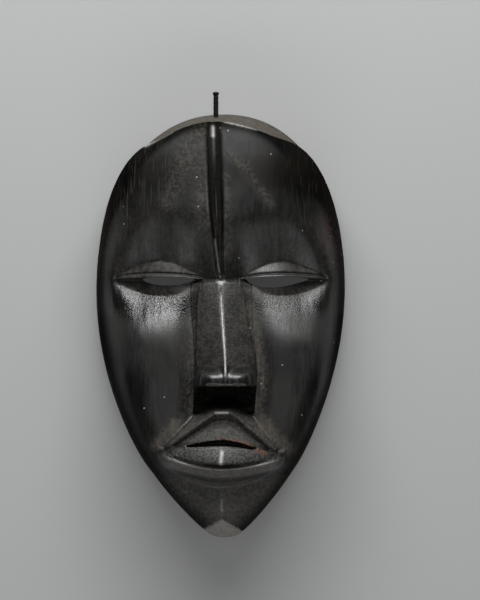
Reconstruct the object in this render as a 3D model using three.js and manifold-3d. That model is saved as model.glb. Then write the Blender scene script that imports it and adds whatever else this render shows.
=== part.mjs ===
import * as THREE from 'three';
import { mergeVertices } from 'three/addons/utils/BufferGeometryUtils.js';
import Module from 'manifold-3d';

// A carved wooden face mask lying on its flat back rim, face up, with the iron pin in its crown.
// Millimetres. +Z is up and out of the face, +Y runs to the crown, +X to the viewer's right.

// Outline in plan: a round crown over a long jaw that ends in a short flat chin
const HALF_WIDTH = 72.1;
const WIDEST_Y = 14;
const CROWN_Y = 115.8;
const CHIN_Y = -128.9;
const JAW_POINT_Y = -149.5;
const CROWN_POWER = 2.16;
const JAW_POWER = 1.95;
const CHIN_ROUNDING = 63.9;

// The eye line, which is also the middle of the carving grid
const EYE_Y = 19.9;

// Height of the dome, and how square its shoulders are at the brow and at the jaw
const DOME_HEIGHT = 60;
const FOREHEAD_SWELL = 3;
const CROWN_FALL = 0.22;
const BROW_SQUARENESS = 2.65;
const JAW_SQUARENESS = 20;

// Left and right eye: middle of the lid, half its length, its rise, the slit's middle and half length
const EYES = [
  { middle: -35.6, half: 26, rise: 10.2, slit: -29.9, slitHalf: 15, slitUp: 1.2, slitDown: 3.6, skew: 0 },
  { middle: 36.6, half: 25.6, rise: 9.8, slit: 32.3, slitHalf: 18, slitUp: 1.4, slitDown: 4.4, skew: 0.45 },
];
const EYE_DEPTH = 13.5;
const BROW_SLOPE_LENGTH = 38;
const BROW_SLOPE_LOSS = 0.35;
const CHEEK_SLOPE_LENGTH = 29;
const NOSE_SLOPE_LENGTH = 56;
const BRIDGE_RISE = 4;
const BESIDE_NOSE_DROP = 3.6;
const LOWER_LID_DROP = 9.4;
const LID_SWELL = 5;

// Nose: ridge from the root down to the tip, its wings and its underside
const NOSE_ROOT_Z = 51.6;
const NOSE_ROOT_Y = 17.5;
const NOSE_TIP_Z = 74.8;
const NOSE_RISE = 0.425;
const NOSE_HALF_WIDTH = 17;
const NOSE_EDGE_Y = -38.8;
const NOSE_EDGE_Z = 74;
const NOSE_BASE_Y = -60;
const WING_FOOT_Z = 50;
const WING_RISE = 23.4;
const SCOOP_Y = -53;
const SCOOP_RADIUS = 9.5;
const SCOOP_DEPTH = 8;

// Mouth: the raised border above the lips, the lips and the raised border below them
const UPPER_BORDER_Y = -54.6;
const LOWER_BORDER_Y = -85.6;
const LIP_LINE_Y = -71.3;
const LIP_DROOP = [2.6, 4.7];
const MOUTH_FOOT_RISE = 1;
const UPPER_BORDER_RISE = 9.8;
const LIP_LINE_RISE = 17.2;
const LOWER_LIP_RISE = 19.6;
const LOWER_BORDER_RISE = 15.6;
const MOUTH_HALF = 34;
const LIP_HALF = 31;
const MOUTH_SLIT_HALF = 20;
const MOUTH_SLIT_OPEN = 3.4;
const MOUTH_SLIT_DEPTH = 9;

// Chin: the slope of its shallow keel, and where the slanted facet at its tip starts
const CHIN_KEEL_SLOPE = 0.22;
const CHIN_FACET_Y = -118.5;
const CHIN_FACET_Z = 42.5;

// How steeply the face drops to its edge: sharply at the sides, gently at the crown, gentlest at its chip
const CROWN_BEVEL = 6.8;
const SIDE_BEVEL = 60;
const CHIP_EASING = 1.1;
const CHIP_ANGLE = 1.37;

// The hollow behind the face, with more room for a nose and a mouth
const HOLLOW_HEIGHT = 50;
const EYE_HOLLOW_DROP = 12;
const NOSE_ROOM = 9;
const MOUTH_ROOM = 10.5;

// Rim, tie holes at the temples, and the pin with the blind hole it stands in
const RIM_WIDTH = 7;
const CROWN_RIM_EXTRA = 2.5;
const TIE_HOLE = { y: 22.5, z: 8.5, radius: 2.1 };
const PIN = { x: -2.6, z: 20, radius: 1.35, headRadius: 1.75, headLength: 1.6, foot: 108.5, top: 127.3 };
const GAP = 0.3;

// How finely the carving is cut
const RAYS = 92;
const FRONT_RINGS = 38;
const BACK_RINGS = 8;
const FULL_TURN = 2 * Math.PI;
const FAR_BELOW = -60;

const clamp = (value, low, high) => Math.min(Math.max(value, low), high);
const bell = (offset, width) => Math.exp(-((offset / width) ** 2));
const fold = (offset, rounding) => Math.hypot(offset, rounding) - rounding;
const higher = (a, b, blend) => 0.5 * (a + b + Math.hypot(a - b, blend));
const lower = (a, b, blend) => 0.5 * (a + b - Math.hypot(a - b, blend));
const cap = (fraction, power) => clamp(1 - Math.abs(fraction) ** power, 0, 1);
const side = (x, left, right) => (x < 0 ? left : right);

function ease(value, from, to) {
  const t = clamp((value - from) / (to - from), 0, 1);
  return t * t * (3 - 2 * t);
}

// Half the mask's width at a height on the face
function halfWidth(y) {
  const up = clamp((y - WIDEST_Y) / (CROWN_Y - WIDEST_Y), 0, 1);
  const down = clamp((WIDEST_Y - y) / (WIDEST_Y - JAW_POINT_Y), 0, 1);
  const share = y > WIDEST_Y ? (1 - up ** CROWN_POWER) ** (1 / CROWN_POWER) : 1 - down ** JAW_POWER;
  const end = clamp((CHIN_Y + CHIN_ROUNDING - y) / CHIN_ROUNDING, 0, 1);
  return HALF_WIDTH * share * Math.cbrt(1 - end ** 3);
}

// How far the outline leans to one side, as the hand-cut original does
function outlineLean(y) {
  const up = clamp((y - WIDEST_Y) / (CROWN_Y - WIDEST_Y), 0, 1);
  const down = clamp((WIDEST_Y - y) / (WIDEST_Y - CHIN_Y), 0, 1);
  return 1.2 * up ** 4 + 0.6 * up - 1.3 * down * (1 - down) + 2.5 * down ** 3;
}

// Sideways place of the face's middle line: left at the crown, right at the nose and chin
function midline(y) {
  const up = clamp((y - EYE_Y) / (CROWN_Y - EYE_Y), 0, 1);
  const down = clamp((EYE_Y - y) / (EYE_Y - CHIN_Y), 0, 1);
  return 0.3 - 4.6 * up ** 0.8 + 2.4 * bell(y + 32, 28) + 1.2 * down;
}

function isInside(x, y) {
  return y < CROWN_Y && y > CHIN_Y && Math.abs(x - outlineLean(y)) < halfWidth(y);
}

// Distance from the middle of the eye line to the outline, found by halving
function findReach(angle) {
  let near = 0;
  let far = CROWN_Y - CHIN_Y;
  for (let step = 0; step < 40; step += 1) {
    const middle = (near + far) / 2;
    if (isInside(middle * Math.cos(angle), EYE_Y + middle * Math.sin(angle))) {
      near = middle;
    } else {
      far = middle;
    }
  }
  return near;
}

const REACH_STEPS = 1440;
const reachTable = Array.from({ length: REACH_STEPS }, (_, i) => findReach((FULL_TURN * i) / REACH_STEPS));

function reach(angle) {
  const place = ((((angle / FULL_TURN) % 1) + 1) % 1) * REACH_STEPS;
  const step = Math.floor(place);
  const [before, after] = [reachTable[step % REACH_STEPS], reachTable[(step + 1) % REACH_STEPS]];
  return before + (place - step) * (after - before);
}

function rimWidth(angle) {
  return RIM_WIDTH + CROWN_RIM_EXTRA * clamp(Math.sin(angle), 0, 1) ** 6;
}

// The plain dome that everything is carved from
function dome(y, spread) {
  const jaw = ease(y, 5, -75);
  const power = BROW_SQUARENESS + (JAW_SQUARENESS - BROW_SQUARENESS) * jaw;
  const height = DOME_HEIGHT - 4.5 * ease(y, 15, -35) + 0.5 * jaw + FOREHEAD_SWELL * bell(y - 66, 34);
  const rounded = cap(spread, power) ** (0.476 - 0.036 * jaw);
  const flat = 1 - CROWN_FALL * spread ** 2.2;
  return height * (rounded + (flat - rounded) * ease(y, 35, 90));
}

// Brow and cheek slopes that meet at the eye line, with the long narrow lids between them
function carveEyes(x, y, plain, spread) {
  const out = Math.abs(x);
  const eye = EYES[side(x, 0, 1)];
  const along = (x - eye.middle) / eye.half;
  const toNose = side(x, along, -along);
  const lens = cap(along, 2);
  const lidRise = eye.rise * lens * (1 + 0.12 * toNose);
  const browRise = (eye.rise + 0.2) * bell(toNose - 0.05, 0.74);
  const lidDrop = LOWER_LID_DROP * lens ** 0.9 * (1 + 0.1 * toNose);
  const bridge = BRIDGE_RISE * bell(out, 8) - 1.2 * bell(out - 15, 6);
  const socket = 0.8 + (EYE_DEPTH - 0.8) * ease(out, 72, 44) - bridge;
  const depth = socket * (0.2 + 0.8 * ease(spread, 1, 0.8));
  const bed = plain - depth;
  const browLength = clamp(BROW_SLOPE_LENGTH - BROW_SLOPE_LOSS * out, 17, 40);
  const browShare = higher(clamp(1 - (y - EYE_Y - browRise) / browLength, -2, 3), 0, 0.22) - 0.012;
  const brow = plain - depth * browShare;
  const cheekLength = CHEEK_SLOPE_LENGTH + (NOSE_SLOPE_LENGTH - CHEEK_SLOPE_LENGTH) * bell(out - 14, 13);
  const trough = BESIDE_NOSE_DROP * bell(out - 15, 8) * ease(y, 16, -6) * ease(y, -74, -46);
  const cheek = plain - depth * clamp(1 - (EYE_Y - lidDrop - y) / cheekLength, 0, 3) ** 2 - trough;
  let z = higher(brow, cheek, 0.7);
  if (lens > 0) {
    z = higher(z, bed - 1.2 * bell(toNose - 0.85, 0.25), 0.5);
    const across = (y - EYE_Y) / Math.max(lidRise, 0.4);
    if (across > -0.1 && across < 1.1) {
      const rounded = lower(1.06 - 0.9 * across, 6 * (across + 0.1), 0.2);
      const swell = LID_SWELL * lens ** 0.6 * clamp(rounded, 0, 1);
      z = higher(z, bed - 0.6 + swell, 0.4);
    }
  }
  return z - bell(y - EYE_Y - 3.3 * lens ** 0.6, 0.6) * ease(lens, 0, 0.2);
}

// The bar that runs down the forehead between two grooves and narrows to the nose
function keel(x, y) {
  const out = Math.abs(x);
  const half = 1.3 + 1.5 * ease(y, EYE_Y + 3, EYE_Y + 50) - 0.8 * ease(y, 98, 108);
  const bar = (1.1 + 0.45 * half) * cap(x / half, 2) ** 0.75 * Math.sqrt(ease(y, 110, 102));
  const grooves = 0.42 * (1 + half) * bell(out - half - 0.5, 0.35 + 0.2 * half);
  return (bar - grooves) * ease(y, EYE_Y, EYE_Y + 5);
}

// A sharp ridge with flat sides, a rounded tip with two wings, and a hollowed underside
function nose(x, y) {
  const out = Math.abs(x);
  if (y < NOSE_BASE_Y || out > NOSE_HALF_WIDTH + 0.3) {
    return FAR_BELOW;
  }
  const climb = lower(NOSE_ROOT_Z + (NOSE_ROOT_Y - y) * NOSE_RISE, NOSE_TIP_Z, 1);
  const ridge = climb - 2.2 * Math.max(y - NOSE_ROOT_Y, 0);
  const slope = 0.46 + 0.0132 * clamp(16.5 - y, 0, 60);
  const wedge = ridge - slope * fold(x, 1);
  const body = clamp(1 - (out / NOSE_HALF_WIDTH) ** 6 - clamp((y + 37.5) / 9.5, 0, 1) ** 2.3, 0, 1);
  const wings = WING_FOOT_Z + WING_RISE * body ** 0.38 + 1.3 * bell(out - 6.5, 3.6) * ease(y, -27, -35);
  const solid = body > 0 ? higher(wedge, wings, 1.6) : wedge;
  const fromScoop = Math.hypot(x, y - SCOOP_Y) / SCOOP_RADIUS;
  const scoop = SCOOP_DEPTH * Math.sqrt(cap(fromScoop, 2));
  const past = NOSE_EDGE_Y - y;
  const underside = NOSE_EDGE_Z - past - 1.8 * past / Math.hypot(past, 1.5) - 0.1 * out;
  return lower(solid, underside - scoop, 0.4);
}

function lipLine(x) {
  return LIP_LINE_Y - side(x, ...LIP_DROOP) * (1 - bell(x, 17));
}

// Height of the mouth over the dome: border, groove and upper lip, then lower lip and border
function mouthRaise(x, y) {
  const out = Math.abs(x);
  const taper = cap(out / (MOUTH_HALF + 1.5), 2.2);
  const lipTaper = cap(out / LIP_HALF, 2);
  const lipTop = MOUTH_FOOT_RISE + LIP_LINE_RISE * lipTaper;
  const line = lipLine(x);
  if (y > line) {
    const steep = side(x, 0.76, 0.86);
    const within = (UPPER_BORDER_Y - y - steep * fold(Math.max(out - 3.5, 0), 1.5)) / Math.hypot(1, steep);
    const border = MOUTH_FOOT_RISE + UPPER_BORDER_RISE * taper;
    const groove = border - 2.6 * (0.3 + 0.7 * taper);
    const grooveY = UPPER_BORDER_Y - 4.4 - steep * (fold(x, 9) + 0.9);
    const share = clamp((grooveY - y) / Math.max(grooveY - line, 0.8), -0.2, 1.3);
    const lip = groove + (lipTop - groove) * share;
    return lower(border + 2 * within, higher(border - 1.3 * within, lip, 0.4), 0.6);
  }
  const borderY = LOWER_BORDER_Y + side(x, 6.6, 4.6) * (out / MOUTH_HALF) ** 1.7;
  const above = y - borderY;
  const border = MOUTH_FOOT_RISE + LOWER_BORDER_RISE * taper;
  if (above > 0) {
    const crest = MOUTH_FOOT_RISE + LOWER_LIP_RISE * lipTaper;
    const share = clamp((above - 3.2) / Math.max(line - borderY - 3.2, 0.6), 0, 1.3);
    const lip = crest - (crest - lipTop + 0.8) * share ** 1.6;
    return higher(lower(lip, border - 1.6 + 2.6 * (above - 1.1), 0.7), border - 1.1 * above, 0.4);
  }
  return lower(border, lower(border + 0.55 * above, border - 2.4 + 2.4 * (above + 4.6), 0.7), 0.2);
}

function mouth(x, y, plain) {
  const left = MOUTH_HALF + 1.5 - Math.abs(x);
  return left > 0 ? plain + lower(mouthRaise(x, y), 3 * left, 0.5) : FAR_BELOW;
}

// The chin's shallow keel and the slanted facet that cuts its tip
function chin(x, y, z) {
  const keeled = z - CHIN_KEEL_SLOPE * ease(y, -82, -94) * fold(x, 2);
  return y < -100 ? lower(keeled, CHIN_FACET_Z + 2.5 * (y - CHIN_FACET_Y), 0.8) : keeled;
}

// Height of the face at a point of the outline's plan
function faceHeight(x, y) {
  const angle = Math.atan2(y - EYE_Y, x);
  const far = reach(angle);
  const spread = Math.min(Math.hypot(x, y - EYE_Y) / far, 1);
  const plain = dome(y, spread);
  let z = carveEyes(x, y, plain, spread);
  z += keel(x - midline(y) * spread ** 6, y) * ease(spread, 1, 0.955);
  z = higher(z, Math.max(nose(x, y), FAR_BELOW), 1);
  z = higher(z, Math.max(mouth(x, y, plain), FAR_BELOW), 0.7);
  z = chin(x, y, z);
  const gentle = CROWN_BEVEL - CHIP_EASING * bell(angle - CHIP_ANGLE, 0.17);
  const bevel = gentle + SIDE_BEVEL * ease(Math.sin(angle), 0.96, 0.7) ** 1.5;
  return Math.max(lower(z, (1 - spread) * far * bevel + 0.5, 0.6), 0);
}

// Height of the hollow behind the face, with deeper places behind the nose and the mouth
function hollowHeight(x, y) {
  const angle = Math.atan2(y - EYE_Y, x);
  const spread = Math.min(Math.hypot(x, y - EYE_Y) / (reach(angle) - rimWidth(angle)), 1);
  const jaw = ease(y, 5, -75);
  const height = HOLLOW_HEIGHT - 3.5 * ease(y, 15, -35) - 1.5 * jaw + 2 * bell(y - 66, 34);
  const bowl = height * Math.sqrt(cap(spread, 2.5 + 5.5 * jaw + 3.5 * ease(y, 35, 90)));
  const eyes = EYE_HOLLOW_DROP * bell(y - EYE_Y, 19) * ease(Math.abs(x), 68, 44);
  const beside = 4 * bell(Math.abs(x) - 14, 8) * bell(y - 2, 13);
  const noseRoom = NOSE_ROOM * bell(x, 8) * bell(y + 24, 16);
  const mouthRoom = MOUTH_ROOM * bell(x, 19) * bell(y + 74, 13);
  return Math.max(bowl - eyes - beside + noseRoom + mouthRoom, 0);
}

// Angles of the rays, closer together over the mouth and the chin
function rayAngles() {
  const fine = 3600;
  const totals = [0];
  for (let i = 0; i < fine; i += 1) {
    const turn = (FULL_TURN * (i + 0.5)) / fine;
    const mouthShare = 1.6 * bell(turn - 1.5 * Math.PI, 0.4);
    const keelShare = 2.4 * bell(turn - 0.5 * Math.PI - 0.03, 0.07);
    totals.push(totals[i] + 1 + mouthShare + keelShare);
  }
  const angles = [];
  let at = 0;
  for (let ray = 0; ray < RAYS; ray += 1) {
    while (totals[at + 1] < (totals[fine] * ray) / RAYS) {
      at += 1;
    }
    angles.push((FULL_TURN * at) / fine);
  }
  return angles;
}

// Ring places along a ray, closer together where the face bends, judged over a fan of near rays
function ringShares(angle) {
  const steps = 240;
  const steady = 0.004;
  const bends = new Array(steps).fill(steady);
  for (const turn of [-0.09, -0.06, -0.03, 0, 0.03, 0.06, 0.09]) {
    const far = reach(angle + turn);
    const heightAt = (i) => {
      const r = (far * i) / steps;
      return faceHeight(r * Math.cos(angle + turn), EYE_Y + r * Math.sin(angle + turn));
    };
    for (let i = 1; i < steps - 1; i += 1) {
      const before = Math.atan2(heightAt(i) - heightAt(i - 1), far / steps);
      const after = Math.atan2(heightAt(i + 1) - heightAt(i), far / steps);
      bends[i] += Math.min(Math.abs(after - before), 0.7) / 28;
    }
  }
  const totals = [0];
  for (let i = 0; i < steps; i += 1) {
    const near = bends.slice(Math.max(i - 2, 0), i + 3);
    totals.push(totals[i] + near.reduce((sum, bend) => sum + bend, 0) / near.length);
  }
  const shares = [];
  let at = 0;
  for (let ring = 1; ring <= FRONT_RINGS; ring += 1) {
    const wanted = (totals[steps] * ring) / FRONT_RINGS;
    while (at < steps - 1 && totals[at + 1] < wanted) {
      at += 1;
    }
    shares.push(Math.min((at + (wanted - totals[at]) / (totals[at + 1] - totals[at])) / steps, 1));
  }
  shares[FRONT_RINGS - 1] = 1;
  return shares;
}

// A point on a ray from the middle of the eye line, in plan
function onRay(angle, distance) {
  return { x: distance * Math.cos(angle), y: EYE_Y + distance * Math.sin(angle) };
}

// A point of the face or of the hollow, moved sideways with the middle line
function placed(x, y, z) {
  const spread = Math.min(Math.hypot(x, y - EYE_Y) / reach(Math.atan2(y - EYE_Y, x)), 1);
  return new THREE.Vector3(x + midline(y) * (1 - spread ** 6), y, z);
}

// A sheet of rings over a plan of rays, as triangles seen from the side its height is on
function sheet(plan, heightAt) {
  const rings = plan[0].length;
  const raised = ({ x, y }, ring) => placed(x, y, ring < rings - 1 ? heightAt(x, y) : 0);
  const points = plan.map((ray) => ray.map(raised));
  const middle = placed(0, EYE_Y, heightAt(0, EYE_Y));
  const triangles = [];
  for (let ray = 0; ray < RAYS; ray += 1) {
    const next = (ray + 1) % RAYS;
    triangles.push(middle, points[ray][0], points[next][0]);
    for (let ring = 1; ring < rings; ring += 1) {
      const around = (rays) => [rays[ray][ring - 1], rays[ray][ring], rays[next][ring], rays[next][ring - 1]];
      const corners = around(plan);
      const x = corners.reduce((sum, corner) => sum + corner.x / 4, 0);
      const y = corners.reduce((sum, corner) => sum + corner.y / 4, 0);
      const [a, b, c, d] = around(points);
      const trueZ = heightAt(x, y);
      const firstIsNearer = Math.abs((a.z + c.z) / 2 - trueZ) < Math.abs((b.z + d.z) / 2 - trueZ);
      triangles.push(...(firstIsNearer ? [a, b, c, a, c, d] : [a, b, d, b, c, d]));
    }
  }
  return { triangles, edge: points.map((ray) => ray[rings - 1]) };
}

// Face and hollow as two sheets joined by the flat rim
function maskBody() {
  const angles = rayAngles();
  const hollowShares = [];
  for (let ring = 1; ring <= BACK_RINGS; ring += 1) {
    hollowShares.push(Math.sin((Math.PI * ring) / (2 * BACK_RINGS)));
  }
  const face = sheet(angles.map((angle) => {
    return ringShares(angle).map((share) => onRay(angle, share * reach(angle)));
  }), faceHeight);
  const hollow = sheet(angles.map((angle) => {
    return hollowShares.map((share) => onRay(angle, share * (reach(angle) - rimWidth(angle))));
  }), hollowHeight);
  const triangles = [...face.triangles, ...hollow.triangles.reverse()];
  for (let ray = 0; ray < RAYS; ray += 1) {
    const next = (ray + 1) % RAYS;
    const [a, b, c, d] = [face.edge[ray], hollow.edge[ray], hollow.edge[next], face.edge[next]];
    triangles.push(a, b, c, a, c, d);
  }
  return new THREE.BufferGeometry().setFromPoints(triangles);
}

// A closed body through stacked loops of the same number of points, counter-clockwise from its end
function loft(loops) {
  const triangles = [];
  const count = loops[0].length;
  const total = (loop) => loop.reduce((sum, point) => sum.add(point), new THREE.Vector3());
  const middle = (loop) => total(loop).divideScalar(count);
  const first = middle(loops[0]);
  const last = middle(loops[loops.length - 1]);
  for (let i = 0; i < count; i += 1) {
    const j = (i + 1) % count;
    triangles.push(first, loops[0][j], loops[0][i]);
    for (let k = 1; k < loops.length; k += 1) {
      triangles.push(loops[k - 1][i], loops[k - 1][j], loops[k][j]);
      triangles.push(loops[k - 1][i], loops[k][j], loops[k][i]);
    }
    triangles.push(last, loops[loops.length - 1][i], loops[loops.length - 1][j]);
  }
  return new THREE.BufferGeometry().setFromPoints(triangles);
}

// Plan of a long slit between two curves, widened all round by a margin
function slitLoop(from, to, upper, under, margin, z) {
  const points = [];
  const steps = 10;
  const middle = (from + to) / 2;
  const half = (to - from) / 2 + margin;
  for (let i = 0; i <= steps; i += 1) {
    const x = middle - half * Math.cos((Math.PI * i) / steps);
    points.push(placed(x, under(clamp(x, from, to)) - (i % steps ? margin : 0), z));
  }
  for (let i = steps - 1; i > 0; i -= 1) {
    const x = middle - half * Math.cos((Math.PI * i) / steps);
    points.push(placed(x, upper(clamp(x, from, to)) + margin, z));
  }
  return points;
}

// The cut through an eye, which opens wider towards the hollow
function eyeCutter(eye) {
  const share = (x) => (x - eye.slit) / eye.slitHalf;
  const upper = (x) => EYE_Y + 0.15 + eye.slitUp * Math.sqrt(cap(share(x), 2));
  const under = (x) => EYE_Y - eye.slitDown * cap(share(x), 2) ** 0.7 * (1 - eye.skew * share(x));
  const [from, to] = [eye.slit - eye.slitHalf, eye.slit + eye.slitHalf];
  const levels = [[18, 3.2], [44, 0], [80, 0]];
  return loft(levels.map(([z, margin]) => slitLoop(from, to, upper, under, margin, z)));
}

// The narrow blind cut between the lips
function mouthCutter() {
  const half = (x) => 0.35 + 0.5 * (MOUTH_SLIT_OPEN - 0.7) * cap(x / MOUTH_SLIT_HALF, 2) ** 1.4;
  const upper = (x) => lipLine(x) + half(x);
  const under = (x) => lipLine(x) - half(x);
  const floor = faceHeight(0, LIP_LINE_Y) - MOUTH_SLIT_DEPTH;
  const ends = [-MOUTH_SLIT_HALF, MOUTH_SLIT_HALF];
  return loft([[floor, -0.1], [90, 0]].map(([z, margin]) => slitLoop(...ends, upper, under, margin, z)));
}

// Circles along +Y or +X, given as pairs of place and radius
function rod(stations, sides, pointAt) {
  return loft(stations.map(([place, radius]) => Array.from({ length: sides }, (_, i) => {
    const turn = (FULL_TURN * i) / sides;
    return pointAt(place, radius * Math.cos(turn), radius * Math.sin(turn));
  })));
}

const alongY = (place, a, b) => new THREE.Vector3(PIN.x + b, place, PIN.z + a);
const alongX = (place, a, b) => new THREE.Vector3(place, TIE_HOLE.y + a, TIE_HOLE.z + b);

function pinBody() {
  const neck = PIN.top - PIN.headLength;
  const stations = [
    [PIN.foot, 0.7 * PIN.radius],
    [PIN.foot + 1, PIN.radius],
    [neck, PIN.radius],
    [neck + 0.4, PIN.headRadius],
    [PIN.top - 0.4, PIN.headRadius],
    [PIN.top, 0.7 * PIN.headRadius],
  ];
  return rod(stations, 12, alongY);
}

const wasm = await Module();
wasm.setup();

function toManifold(geometry) {
  const plain = geometry.clone();
  plain.deleteAttribute('normal');
  plain.deleteAttribute('uv');
  const merged = mergeVertices(plain, 1e-4);
  const mesh = new wasm.Mesh({
    numProp: 3,
    vertProperties: new Float32Array(merged.attributes.position.array),
    triVerts: new Uint32Array(merged.index.array),
  });
  return new wasm.Manifold(mesh);
}

function fromManifold(solid) {
  const mesh = solid.getMesh();
  const geometry = new THREE.BufferGeometry();
  geometry.setAttribute('position', new THREE.BufferAttribute(mesh.vertProperties, 3));
  geometry.setIndex(new THREE.BufferAttribute(mesh.triVerts, 1));
  return geometry;
}

function carvedMask() {
  const pinHole = rod([[PIN.foot - GAP, PIN.radius + GAP], [CROWN_Y + 5, PIN.radius + GAP]], 12, alongY);
  const tieHoles = [-1, 1].map((hand) => {
    const ends = [hand * (HALF_WIDTH - 16), hand * (HALF_WIDTH + 4)].sort((a, b) => a - b);
    return rod(ends.map((x) => [x, TIE_HOLE.radius]), 10, alongX);
  });
  const cutters = [pinHole, ...tieHoles, ...EYES.map(eyeCutter), mouthCutter()].map(toManifold);
  return fromManifold(cutters.reduce((solid, cutter) => solid.subtract(cutter), toManifold(maskBody())));
}

const WOOD = new THREE.MeshStandardMaterial({ color: 0x1c1b19, roughness: 0.4, metalness: 0 });
const IRON = new THREE.MeshStandardMaterial({ color: 0x2b2624, roughness: 0.55, metalness: 0.8 });

const part = new THREE.Group();
part.name = 'wall_mask';
for (const [name, geometry, material] of [['mask', carvedMask(), WOOD], ['crown_pin', pinBody(), IRON]]) {
  const mesh = new THREE.Mesh(geometry, material);
  mesh.name = name;
  part.add(mesh);
}

export default part;
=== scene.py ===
# %% [markdown]
# # A carved wooden face mask
# The real object is one block of hardwood, carved into a long face and hollowed behind, blackened and
# rubbed until it shines. An iron pin stands in its crown. It lies here on its flat back rim, face up.
# This lesson carves it again as one surface worked out with numpy, and then gives it its old patina.

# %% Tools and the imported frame
import math
from types import SimpleNamespace

import bmesh
import bpy
import numpy as np
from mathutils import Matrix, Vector


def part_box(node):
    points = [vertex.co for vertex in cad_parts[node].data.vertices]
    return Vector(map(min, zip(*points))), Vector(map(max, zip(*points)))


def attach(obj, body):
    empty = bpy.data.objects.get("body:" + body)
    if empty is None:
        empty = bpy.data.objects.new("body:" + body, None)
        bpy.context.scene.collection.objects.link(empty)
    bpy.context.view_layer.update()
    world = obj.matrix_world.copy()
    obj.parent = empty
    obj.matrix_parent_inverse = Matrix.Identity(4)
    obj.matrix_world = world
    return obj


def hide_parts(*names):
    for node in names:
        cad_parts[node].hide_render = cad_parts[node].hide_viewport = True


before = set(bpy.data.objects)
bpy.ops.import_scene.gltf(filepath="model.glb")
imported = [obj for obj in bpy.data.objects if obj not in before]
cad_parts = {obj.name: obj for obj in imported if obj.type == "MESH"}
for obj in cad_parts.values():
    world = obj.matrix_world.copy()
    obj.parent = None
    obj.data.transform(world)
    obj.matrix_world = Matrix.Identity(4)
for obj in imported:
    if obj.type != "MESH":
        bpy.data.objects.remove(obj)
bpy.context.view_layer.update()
MM = 0.001

# %% [markdown]
# ## Blending
# A carver's edges are never mathematically sharp. Each form below is a height over the back rim, and two
# forms meet through a soft maximum or minimum, so that every edge gets a small true radius. That is why
# this way was chosen instead of booleans, which leave hard seams.

# %% Small blending functions
def ease(value, start, end):
    """0 before start, 1 after end, and a smooth S between them."""
    share = np.clip((value - start) / (end - start), 0, 1)
    return share * share * (3 - 2 * share)


def bell(offset, width):
    """A smooth hump: e to the power of minus the square of offset over width."""
    return np.exp(-((offset / width) ** 2))


def cap(share, power):
    """1 in the middle and 0 at share 1, falling as one minus share to a power."""
    return np.clip(1 - np.abs(share) ** power, 0, 1)


def fold(offset, rounding):
    """The absolute value of offset with a rounded bottom."""
    return np.hypot(offset, rounding) - rounding


def higher(first, second, blend):
    """The larger of two heights, with a fillet about as wide as blend."""
    return 0.5 * (first + second + np.hypot(first - second, blend))


def lower(first, second, blend):
    """The smaller of two heights, with an edge rounded about as wide as blend."""
    return 0.5 * (first + second - np.hypot(first - second, blend))


def side(x, left, right):
    """One value left of the middle and another right of it."""
    return np.where(x < 0, left, right)


# %% [markdown]
# ## Outline
# In plan the mask is a round crown over a long jaw with a short blunt chin. The crown is a superellipse and
# the jaw a power curve. The distance from the middle of the eye line to this outline is kept in a table,
# because everything else is measured as a share of it.

# %% Outline in plan, in millimetres
HALF_WIDTH = 72.1
WIDEST_Y = 14.0
CROWN_Y = 115.8
CHIN_Y = -128.9
JAW_POINT_Y = -149.5
CROWN_POWER = 2.16
JAW_POWER = 1.95
CHIN_ROUNDING = 63.9
EYE_Y = 19.9
MIDLINE_POWER = 6
FULL_TURN = 2 * math.pi


def half_width(y):
    """Half the width at a height on the face: superellipse above the widest place, power curve below."""
    up = np.clip((y - WIDEST_Y) / (CROWN_Y - WIDEST_Y), 0, 1)
    down = np.clip((WIDEST_Y - y) / (WIDEST_Y - JAW_POINT_Y), 0, 1)
    share = np.where(y > WIDEST_Y, (1 - up**CROWN_POWER) ** (1 / CROWN_POWER), 1 - down**JAW_POWER)
    end = np.clip((CHIN_Y + CHIN_ROUNDING - y) / CHIN_ROUNDING, 0, 1)
    return HALF_WIDTH * share * np.cbrt(1 - end**3)


def outline_lean(y):
    """How far the outline leans to one side, a polynomial of the height on the face."""
    up = np.clip((y - WIDEST_Y) / (CROWN_Y - WIDEST_Y), 0, 1)
    down = np.clip((WIDEST_Y - y) / (WIDEST_Y - CHIN_Y), 0, 1)
    return 1.2 * up**4 + 0.6 * up - 1.3 * down * (1 - down) + 2.5 * down**3


def midline(y):
    """Sideways place of the face's middle line: left at the crown, right at the nose and chin."""
    up = np.clip((y - EYE_Y) / (CROWN_Y - EYE_Y), 0, 1)
    down = np.clip((EYE_Y - y) / (EYE_Y - CHIN_Y), 0, 1)
    return 0.3 - 4.6 * up**0.8 + 2.4 * bell(y + 32, 28) + 1.2 * down


def find_reach(angle):
    """Distance from the middle of the eye line to the outline, found by halving an interval 40 times."""
    near, far = np.zeros_like(angle), np.full_like(angle, 260.0)
    for _ in range(40):
        middle = 0.5 * (near + far)
        x, y = middle * np.cos(angle), EYE_Y + middle * np.sin(angle)
        inside = (y < CROWN_Y) & (y > CHIN_Y) & (np.abs(x - outline_lean(y)) < half_width(y))
        near, far = np.where(inside, middle, near), np.where(inside, far, middle)
    return near


TABLE_ANGLES = np.linspace(0, FULL_TURN, 3601)
TABLE_REACH = find_reach(TABLE_ANGLES)


def reach(angle):
    """The outline's distance along an angle, read from the table."""
    return np.interp(np.mod(angle, FULL_TURN), TABLE_ANGLES, TABLE_REACH)


def angle_of(x, y):
    """Angle of a point about the middle of the eye line."""
    return np.arctan2(y - EYE_Y, x)


def spread_of(x, y):
    """0 at the middle of the eye line and 1 on the outline."""
    return np.minimum(np.hypot(x, y - EYE_Y) / reach(angle_of(x, y)), 1)


print("outline:", TABLE_REACH.min().round(1), "to", TABLE_REACH.max().round(1), "mm from the eye line")

# %% [markdown]
# ## The dome
# The whole face is carved out of one plain dome: round at the brow and much squarer at the jaw, where the
# sides drop almost straight to the rim.

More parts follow.
